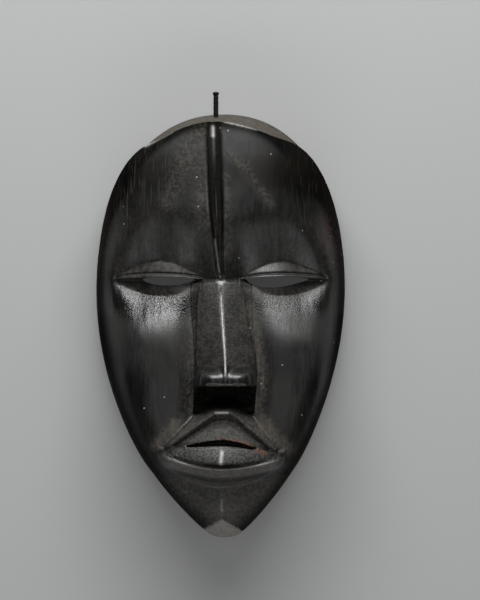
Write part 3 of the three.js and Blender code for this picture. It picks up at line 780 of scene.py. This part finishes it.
def finish_shares(p):
    """Each finish as a share from 0 to 1."""
    # Painted shade: the grooves beside the forehead bar and round the lips are darkened, and the nose's underside
    # is painted dark.
    painted_shade = p.bar_grooves * (1 - p.crown_cut) + 0.9 * mouth_shade(p.x, p.y) * p.mouth + p.under_nose
    polish = bell(p.x, 1.3) * ease(p.y, -33, -29) + 1.2 * spot(p.real_x, p.y, -41, 2, 20, 9)
    wrinkles = bell(p.y - EYE_Y + 19 - 0.12 * p.out, 11) * ease(p.out, 64, 54) * ease(p.past_side, 0, 3)
    return {
        "wear": worn(p),
        "crust": p.nose_sides,
        "dull": dust_and_sheen(p),
        "painted_shade": painted_shade,
        "matte": matted(p),
        "soft": ease(p.y, 5, -6) * ease(p.y, -40, -22) * ease(p.past_side, 0, 3),
        "polish": polish,
        "pale": paled(p),
        "pigment": reddened(p),
        "scratches": p.scratched,
        "wrinkles": wrinkles,
        "red_patch": spot(p.real_x, p.y, 60, 46, 3.4, 9),
        "grains": ease(p.line, 0, -1) * p.mouth * ease(-p.line, 12, 10) * ease(p.out, 33, 27),
    }


# %% Shares stored on the mesh
stored = finish_shares(face_places(face_x, face_y, face_z, skin_z, carved_z, cut_z, spread))
for name, values in stored.items():
    everywhere = np.concatenate([np.clip(values, 0, 1).ravel(), np.zeros(len(points) - face_x.size)])
    layer = mask.data.attributes.new(name, "FLOAT", "POINT")
    layer.data.foreach_set("value", everywhere[used].astype(np.float32))
inside = np.concatenate([np.zeros(face_x.size), np.ones(hollow_x.size), [0.0, 1.0]])
layer = mask.data.attributes.new("inside", "FLOAT", "POINT")
layer.data.foreach_set("value", inside[used].astype(np.float32))
print("finish shares:", ", ".join(stored))

# %% [markdown]
# ## Holes
# A tie hole is bored through each temple and a blind hole in the crown holds the pin. A round bore at a
# slant to the grid is what a boolean does best, so three rods are cut away and the result is kept.

# %% Rods and bores
PIN_X, PIN_Z, PIN_RADIUS, PIN_FOOT, PIN_TOP = -2.6, 20.0, 1.35, 108.5, 127.3
PIN_CLEARANCE, PIN_HEAD_RADIUS = 0.3, 1.75
TIE_Y, TIE_Z, TIE_RADIUS, TIE_DEPTH = 22.5, 8.5, 2.1, 16
BORE_SIDES, PAST_THE_WOOD = 24, 5


def rod(name, stations, sides, axis, centre):
    """Circles carried along an axis: each station is a place on it and a radius; flat ends close it."""
    places, radii = np.array(stations, dtype=float).T
    turn = np.linspace(0, FULL_TURN, sides, endpoint=False)
    across = radii[:, None, None] * np.stack([np.cos(turn), np.sin(turn)], axis=-1)
    ring = np.zeros((len(places), sides, 3))
    others = [i for i in range(3) if i != axis]
    ring[:, :, axis] = places[:, None]
    ring[:, :, others] = across + np.array(centre)
    ids = np.arange(len(places) * sides).reshape(len(places), sides)
    nxt = np.roll(ids, -1, axis=1)
    quads = np.stack([ids[:-1], nxt[:-1], nxt[1:], ids[1:]], axis=-1).reshape(-1, 4)
    faces = [ids[0][::-1].tolist(), *quads.tolist(), ids[-1].tolist()]
    made = build_object(name, ring.reshape(-1, 3), faces)
    shape = bmesh.new()
    shape.from_mesh(made.data)
    bmesh.ops.recalc_face_normals(shape, faces=shape.faces)
    shape.to_mesh(made.data)
    shape.free()
    return made


def bore(target, cutter):
    """Cuts the rod out of the target, keeps the result and deletes the rod."""
    change = target.modifiers.new("bore", "BOOLEAN")
    change.operation, change.solver, change.object = "DIFFERENCE", "EXACT", cutter
    evaluated = target.evaluated_get(bpy.context.evaluated_depsgraph_get())
    cut = bpy.data.meshes.new_from_object(evaluated)
    target.modifiers.clear()
    old, target.data = target.data, cut
    cut.name = "carved_mask"
    bpy.data.meshes.remove(old)
    bpy.data.objects.remove(cutter)


bore_radius = PIN_RADIUS + PIN_CLEARANCE
bore_ends = PIN_FOOT - PIN_CLEARANCE, CROWN_Y + PAST_THE_WOOD
bore(mask, rod("pin_bore", [[end, bore_radius] for end in bore_ends], BORE_SIDES, 1, (PIN_X, PIN_Z)))
for hand in (-1, 1):
    ends = sorted([hand * (HALF_WIDTH - TIE_DEPTH), hand * (HALF_WIDTH + PAST_THE_WOOD)])
    bore(mask, rod("tie_bore", [[end, TIE_RADIUS] for end in ends], BORE_SIDES, 0, (TIE_Y, TIE_Z)))
check = bmesh.new()
check.from_mesh(mask.data)
open_edges = sum(not edge.is_manifold for edge in check.edges)
print("open edges after boring:", open_edges, "volume cm3:", round(check.calc_volume() * 1e6, 1))
check.free()

# %% [markdown]
# ## The iron pin
# A short forged pin, square-ish from the hammer, with a slightly spread head.

# %% Pin
def pin_radius(share):
    """Radius along the pin: the shank, a soft foot and a spread head, with faint hammer waves."""
    shank = PIN_RADIUS * (0.7 + 0.3 * ease(share, 0, 0.05))
    head = (PIN_HEAD_RADIUS - PIN_RADIUS) * ease(share, 0.9, 0.93) * cap(np.clip((share - 0.94) / 0.06, 0, 1), 3)
    return (shank + head) * (1 - 0.35 * ease(share, 0.97, 1)) + 0.05 * np.sin(40 * share)


PIN_RINGS, PIN_SIDES = 90, 48
share = np.linspace(0, 1, PIN_RINGS)
turn = np.linspace(0, FULL_TURN, PIN_SIDES, endpoint=False)
hammered = 1 + 0.05 * np.cos(4 * turn + 0.6) + 0.02 * np.sin(54 * share[:, None] + turn)
radius = pin_radius(share)[:, None] * hammered
length = np.repeat((PIN_FOOT + share * (PIN_TOP - PIN_FOOT))[:, None], PIN_SIDES, axis=1)
ring = np.stack([PIN_X + radius * np.cos(turn), length, PIN_Z + radius * np.sin(turn)], axis=-1)
ids = np.arange(PIN_RINGS * PIN_SIDES).reshape(PIN_RINGS, PIN_SIDES)
nxt = np.roll(ids, -1, axis=1)
quads = np.stack([ids[:-1], ids[1:], nxt[1:], nxt[:-1]], axis=-1).reshape(-1, 4)
pin = build_object("iron_pin", ring.reshape(-1, 3), [ids[0].tolist(), *quads.tolist(), ids[-1][::-1].tolist()])
print("pin:", len(pin.data.vertices), "vertices")

# %% [markdown]
# ## Finishes
# Old patina is layered: black polish with brown grain showing through, dust, crust, bare wood, painted
# shade and red earth, and last the pale of painted highlights and dust. The nodes mix these in that order
# by the stored shares, and noise breaks every border. A small helper keeps each step of the mixing to one line.

# %% Node helpers
class Finish:
    """A material's node tree with short calls for the few nodes that a patina needs."""

    def __init__(self, name):
        self.material = bpy.data.materials.new(name)
        self.material.use_nodes = True
        self.tree = self.material.node_tree
        self.shader = self.tree.nodes["Principled BSDF"]
        self.place = self.tree.nodes.new("ShaderNodeTexCoord").outputs["Object"]

    def join(self, value, socket):
        """Puts a link or a plain value into a socket."""
        if isinstance(value, bpy.types.NodeSocket):
            self.tree.links.new(value, socket)
        else:
            socket.default_value = value

    def share(self, name):
        """A stored share of the mesh."""
        node = self.tree.nodes.new("ShaderNodeAttribute")
        node.attribute_name = name
        return node.outputs["Fac"]

    def math(self, kind, first, second=0.0, clamp=False):
        """One arithmetic step."""
        node = self.tree.nodes.new("ShaderNodeMath")
        node.operation, node.use_clamp = kind, clamp
        self.join(first, node.inputs[0])
        self.join(second, node.inputs[1])
        return node.outputs[0]

    def range(self, value, low, high, to_low=0.0, to_high=1.0):
        """Stretches a range of values smoothly onto another."""
        node = self.tree.nodes.new("ShaderNodeMapRange")
        node.interpolation_type = "SMOOTHSTEP"
        for value_or_link, socket in zip((value, low, high, to_low, to_high), node.inputs[:5]):
            self.join(value_or_link, socket)
        return node.outputs[0]

    def stretched(self, scale):
        """Object coordinates stretched by a factor in each direction."""
        node = self.tree.nodes.new("ShaderNodeMapping")
        self.join(self.place, node.inputs["Vector"])
        node.inputs["Scale"].default_value = scale
        return node.outputs["Vector"]

    def noise(self, scale, detail=3.0, rough=0.55, stretch=(1, 1, 1)):
        """Fractal noise in object space; scale is waves per metre."""
        node = self.tree.nodes.new("ShaderNodeTexNoise")
        self.join(self.stretched(stretch), node.inputs["Vector"])
        node.inputs["Scale"].default_value = scale
        node.inputs["Detail"].default_value = detail
        node.inputs["Roughness"].default_value = rough
        return node.outputs["Fac"]

    def specks(self, scale, radius, chosen):
        """Small round dots: near the middle of a Voronoi cell whose random colour passes a limit."""
        node = self.tree.nodes.new("ShaderNodeTexVoronoi")
        self.join(self.place, node.inputs["Vector"])
        node.inputs["Scale"].default_value = scale
        parts = self.tree.nodes.new("ShaderNodeSeparateColor")
        self.tree.links.new(node.outputs["Color"], parts.inputs[0])
        near = self.range(node.outputs["Distance"], radius, 0.6 * radius)
        return self.math("MULTIPLY", near, self.math("GREATER_THAN", parts.outputs[0], chosen))

    def bump(self, height, strength, distance, under=None):
        """A bump of the given height in metres."""
        node = self.tree.nodes.new("ShaderNodeBump")
        node.inputs["Strength"].default_value = strength
        node.inputs["Distance"].default_value = distance
        self.join(height, node.inputs["Height"])
        if under is not None:
            self.join(under, node.inputs["Normal"])
        return node.outputs["Normal"]


def pick_mix_sockets(node):
    """Colour sockets of a Mix node by position, since their names repeat for each data type."""
    return node.inputs[0], node.inputs[6], node.inputs[7], node.outputs[2]


def mix_colours(finish, share, first, second):
    """Blends two colours, each a link or three numbers."""
    node = finish.tree.nodes.new("ShaderNodeMix")
    node.data_type = "RGBA"
    factor, a, b, result = pick_mix_sockets(node)
    finish.join(share, factor)
    finish.join(first if isinstance(first, bpy.types.NodeSocket) else (*first, 1), a)
    finish.join(second if isinstance(second, bpy.types.NodeSocket) else (*second, 1), b)
    return result


# %% Black patina over wood
BLACK, BROWN = (0.0028, 0.0031, 0.0030), (0.009, 0.008, 0.0063)
DULL_DARK, DULL_PALE = (0.0085, 0.0078, 0.0064), (0.044, 0.040, 0.033)
CRUST_DARK, CRUST_LIGHT = (0.002, 0.0018, 0.0014), (0.028, 0.024, 0.0185)
BARE, BARE_PALE = (0.03, 0.0255, 0.019), (0.075, 0.065, 0.049)
EARTH, EARTH_PALE, RED = (0.07, 0.021, 0.01), (0.24, 0.105, 0.06), (0.045, 0.011, 0.007)
# The first colour here is painted shade; the last is the pale of painted highlights and dust.
SHADE_BLACK, GRAIN, SPECK, PALE_HIGHLIGHT_AND_DUST = (0.003, 0.0028, 0.0023), (0.1, 0.1, 0.098), (0.3, 0.3, 0.28), (0.6, 0.585, 0.55)

wood = Finish("black_patina")
grain = wood.noise(420, 4, 0.6, (1, 0.12, 0.35))
fibre = wood.noise(1100, 2, 0.6, (1, 0.07, 0.3))
cloud = wood.noise(55, 4, 0.6, (1, 0.55, 1))
fine = wood.noise(1500, 2, 0.6)
grit = wood.noise(1000, 2, 0.7)
mottle = wood.noise(520, 4, 0.7)
blotch = wood.noise(170, 3, 0.6)
creases = wood.math("ABSOLUTE", wood.math("SUBTRACT", wood.noise(560, 3, 0.6, (1, 1, 0.5)), 0.5))
specks = wood.specks(170, 0.09, 0.7)

colour = mix_colours(wood, wood.range(cloud, 0.38, 0.68), BLACK, BROWN)
colour = mix_colours(wood, wood.range(grain, 0.5, 0.75, 0, 0.6), colour, BROWN)
# Dust, which on the forehead's bands also paints reflections and beside the nose a sheen.
dull = wood.math("MULTIPLY", wood.share("dull"), wood.range(blotch, 0.3, 0.6, 0.5, 1), True)
colour = mix_colours(wood, dull, colour, mix_colours(wood, wood.range(mottle, 0.42, 0.6), DULL_DARK, DULL_PALE))
crusty = wood.range(wood.math("ADD", wood.share("crust"), wood.math("MULTIPLY", mottle, 0.3)), 0.3, 0.85)
flaked = wood.math("ADD", wood.noise(560, 4, 0.8), wood.math("MULTIPLY", blotch, 0.5))
crust_colour = mix_colours(wood, wood.range(flaked, 0.69, 0.79), CRUST_DARK, CRUST_LIGHT)
colour = mix_colours(wood, crusty, colour, crust_colour)
bare = wood.range(wood.math("ADD", wood.share("wear"), wood.math("MULTIPLY", mottle, 0.6)), 0.5, 1.15)
streaks = wood.math("MULTIPLY", wood.math("ADD", mottle, wood.math("ADD", grain, fibre)), 1 / 3)
colour = mix_colours(wood, bare, colour, mix_colours(wood, wood.range(streaks, 0.4, 0.6), BARE, BARE_PALE))
stained = wood.math("MULTIPLY", wood.share("red_patch"), wood.range(mottle, 0.4, 0.6), True)
colour = mix_colours(wood, stained, colour, RED)
# Painted shade: near black and without shine, in grooves, under the nose and under the lower lip border.
shaded = wood.math("MULTIPLY", wood.share("painted_shade"), wood.range(fine, 0.7, 0.55, 0.4, 1), True)
colour = mix_colours(wood, shaded, colour, SHADE_BLACK)
grains = wood.math("MULTIPLY", wood.share("grains"), wood.range(grit, 0.42, 0.64, 0, 0.85), True)
colour = mix_colours(wood, grains, colour, GRAIN)
painted = wood.range(wood.math("ADD", wood.share("pigment"), wood.math("MULTIPLY", mottle, 0.5)), 0.6, 1.35, 0, 0.7)
colour = mix_colours(wood, painted, colour, mix_colours(wood, wood.range(fine, 0.45, 0.65), EARTH, EARTH_PALE))
scratched = wood.math("MULTIPLY", wood.share("scratches"), wood.range(fibre, 0.54, 0.68, 0, 0.8), True)
colour = mix_colours(wood, scratched, colour, DULL_PALE)
colour = mix_colours(wood, specks, colour, SPECK)
# Painted highlights on ridges and edges, with the palest dust, go on last.
pale = wood.math("MULTIPLY", wood.share("pale"), wood.range(mottle, 0.3, 0.6, 0.5, 1), True)
colour = mix_colours(wood, pale, colour, PALE_HIGHLIGHT_AND_DUST)
wood.join(colour, wood.shader.inputs["Base Color"])

rough = wood.range(cloud, 0.3, 0.7, 0.22, 0.32)
for share, extra in (
    (wood.range(fine, 0.45, 0.7), 0.06),
    (wood.range(fibre, 0.4, 0.62), 0.08),
    (dull, 0.2),
    (crusty, 0.3),
    (bare, 0.3),
    (shaded, 0.4),
    (scratched, 0.2),
    (wood.share("matte"), 0.35),
    (wood.share("soft"), 0.2),
    (wood.share("inside"), 0.3),
):
    rough = wood.math("ADD", rough, wood.math("MULTIPLY", share, extra), True)
rough = wood.math("SUBTRACT", rough, wood.math("MULTIPLY", wood.share("polish"), 0.25))
wood.join(wood.math("MAXIMUM", rough, 0.16), wood.shader.inputs["Roughness"])
matte = wood.math("MAXIMUM", shaded, wood.share("matte"))
wood.join(wood.range(matte, 0, 1, 0.5, 0.01), wood.shader.inputs["Specular IOR Level"])
wood.shader.inputs["IOR"].default_value = 1.6

normal = wood.bump(grain, 0.45, 0.0003)
normal = wood.bump(mottle, 0.2, 0.0002, normal)
wrinkled = wood.math("MULTIPLY", wood.share("wrinkles"), wood.range(creases, 0, 0.16))
normal = wood.bump(wrinkled, 0.4, 0.00025, normal)
normal = wood.bump(wood.math("MULTIPLY", wood.math("ADD", crusty, wood.share("grains")), fine), 0.8, 0.0003, normal)
wood.join(normal, wood.shader.inputs["Normal"])
mask.data.materials.append(wood.material)
print("patina nodes:", len(wood.tree.nodes))

# %% Dark forged iron
SCALE_BLACK, RUST_BROWN = (0.007, 0.0068, 0.0065), (0.022, 0.016, 0.012)
iron = Finish("forged_iron")
rust = iron.noise(900, 4, 0.65)
colour = mix_colours(iron, iron.range(rust, 0.45, 0.65), SCALE_BLACK, RUST_BROWN)
iron.join(colour, iron.shader.inputs["Base Color"])
iron.join(iron.range(rust, 0.4, 0.7, 0.42, 0.75), iron.shader.inputs["Roughness"])
iron.shader.inputs["Metallic"].default_value = 0.6
iron.join(iron.bump(rust, 0.6, 0.0002), iron.shader.inputs["Normal"])
pin.data.materials.append(iron.material)

# %% [markdown]
# ## Joining the frame
# Both pieces ride on the one fixed body and stand for their CAD solids, which are hidden.

# %% Bodies and nodes
for piece, node, finish in ((mask, "mask", "dark_wood"), (pin, "crown_pin", "iron")):
    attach(piece, "root")
    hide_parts(node)
    low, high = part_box(node)
    print(node, "CAD box in mm:", [round(v / MM, 1) for v in (*low, *high)])

# %% [markdown]
# ## Floor, light and camera
# A plain pale floor and soft lamps. The main lamp stands beyond the crown, so the slopes that face it shine:
# the cheeks under the eyes, the ridge of the nose and the tops of the lips. A weaker lamp past the chin
# lights the brow slopes, and two faint ones fill the forehead and the cheeks. The camera looks straight
# down from a metre and a half.

# %% Floor
floor_mesh = bpy.data.meshes.new("floor")
floor_mesh.from_pydata([(-4, -4, 0), (4, -4, 0), (4, 4, 0), (-4, 4, 0)], [], [(0, 1, 2, 3)])
floor = bpy.data.objects.new("floor", floor_mesh)
bpy.context.scene.collection.objects.link(floor)
paper = Finish("pale_floor")
paper.shader.inputs["Base Color"].default_value = (0.41, 0.415, 0.415, 1)
paper.shader.inputs["Roughness"].default_value = 0.9
# The floor also glows faintly by itself: painted light that lifts the shade on the floor under the mask, seen
# through the eye slits.
paper.shader.inputs["Emission Color"].default_value = (1, 1, 1, 1)
paper.shader.inputs["Emission Strength"].default_value = 0.04
floor_mesh.materials.append(paper.material)

# %% Lamps
def lamp(name, at, size, power):
    """A rectangular lamp aimed at the mask."""
    data = bpy.data.lights.new(name, "AREA")
    data.shape, data.size, data.size_y, data.energy = "RECTANGLE", size[0], size[1], power
    made = bpy.data.objects.new(name, data)
    made.location = at
    made.rotation_euler = (Vector((0, 0, 0.03)) - Vector(at)).to_track_quat("-Z", "Y").to_euler()
    bpy.context.scene.collection.objects.link(made)


lamp("key_lamp", (0.0, 1.12, 0.66), (1.4, 0.58), 26)
lamp("brow_lamp", (0.0, 0.86, 0.98), (1.1, 0.42), 1.0)
lamp("chin_lamp", (0.0, -1.02, 0.8), (1.4, 0.6), 4.2)
lamp("top_lamp", (0.0, 0.1, 1.8), (1.0, 1.0), 1.8)
world = bpy.data.worlds.new("studio")
world.use_nodes = True
world.node_tree.nodes["Background"].inputs["Color"].default_value = (0.03, 0.031, 0.033, 1)
bpy.context.scene.world = world
bpy.context.scene.view_settings.view_transform = "Standard"

# %% Camera
PICTURE_HEIGHT, MM_PER_PIXEL, DISTANCE = 600, 0.5806, 1.5
lens = bpy.data.cameras.new("camera")
lens.sensor_width = 36
lens.lens = lens.sensor_width * DISTANCE / (MM_PER_PIXEL * PICTURE_HEIGHT * MM)
camera = bpy.data.objects.new("camera", lens)
camera.location = (11.2 * MM, 8.1 * MM, DISTANCE)
bpy.context.scene.collection.objects.link(camera)
bpy.context.scene.camera = camera
print("focal length:", round(lens.lens, 1), "mm")
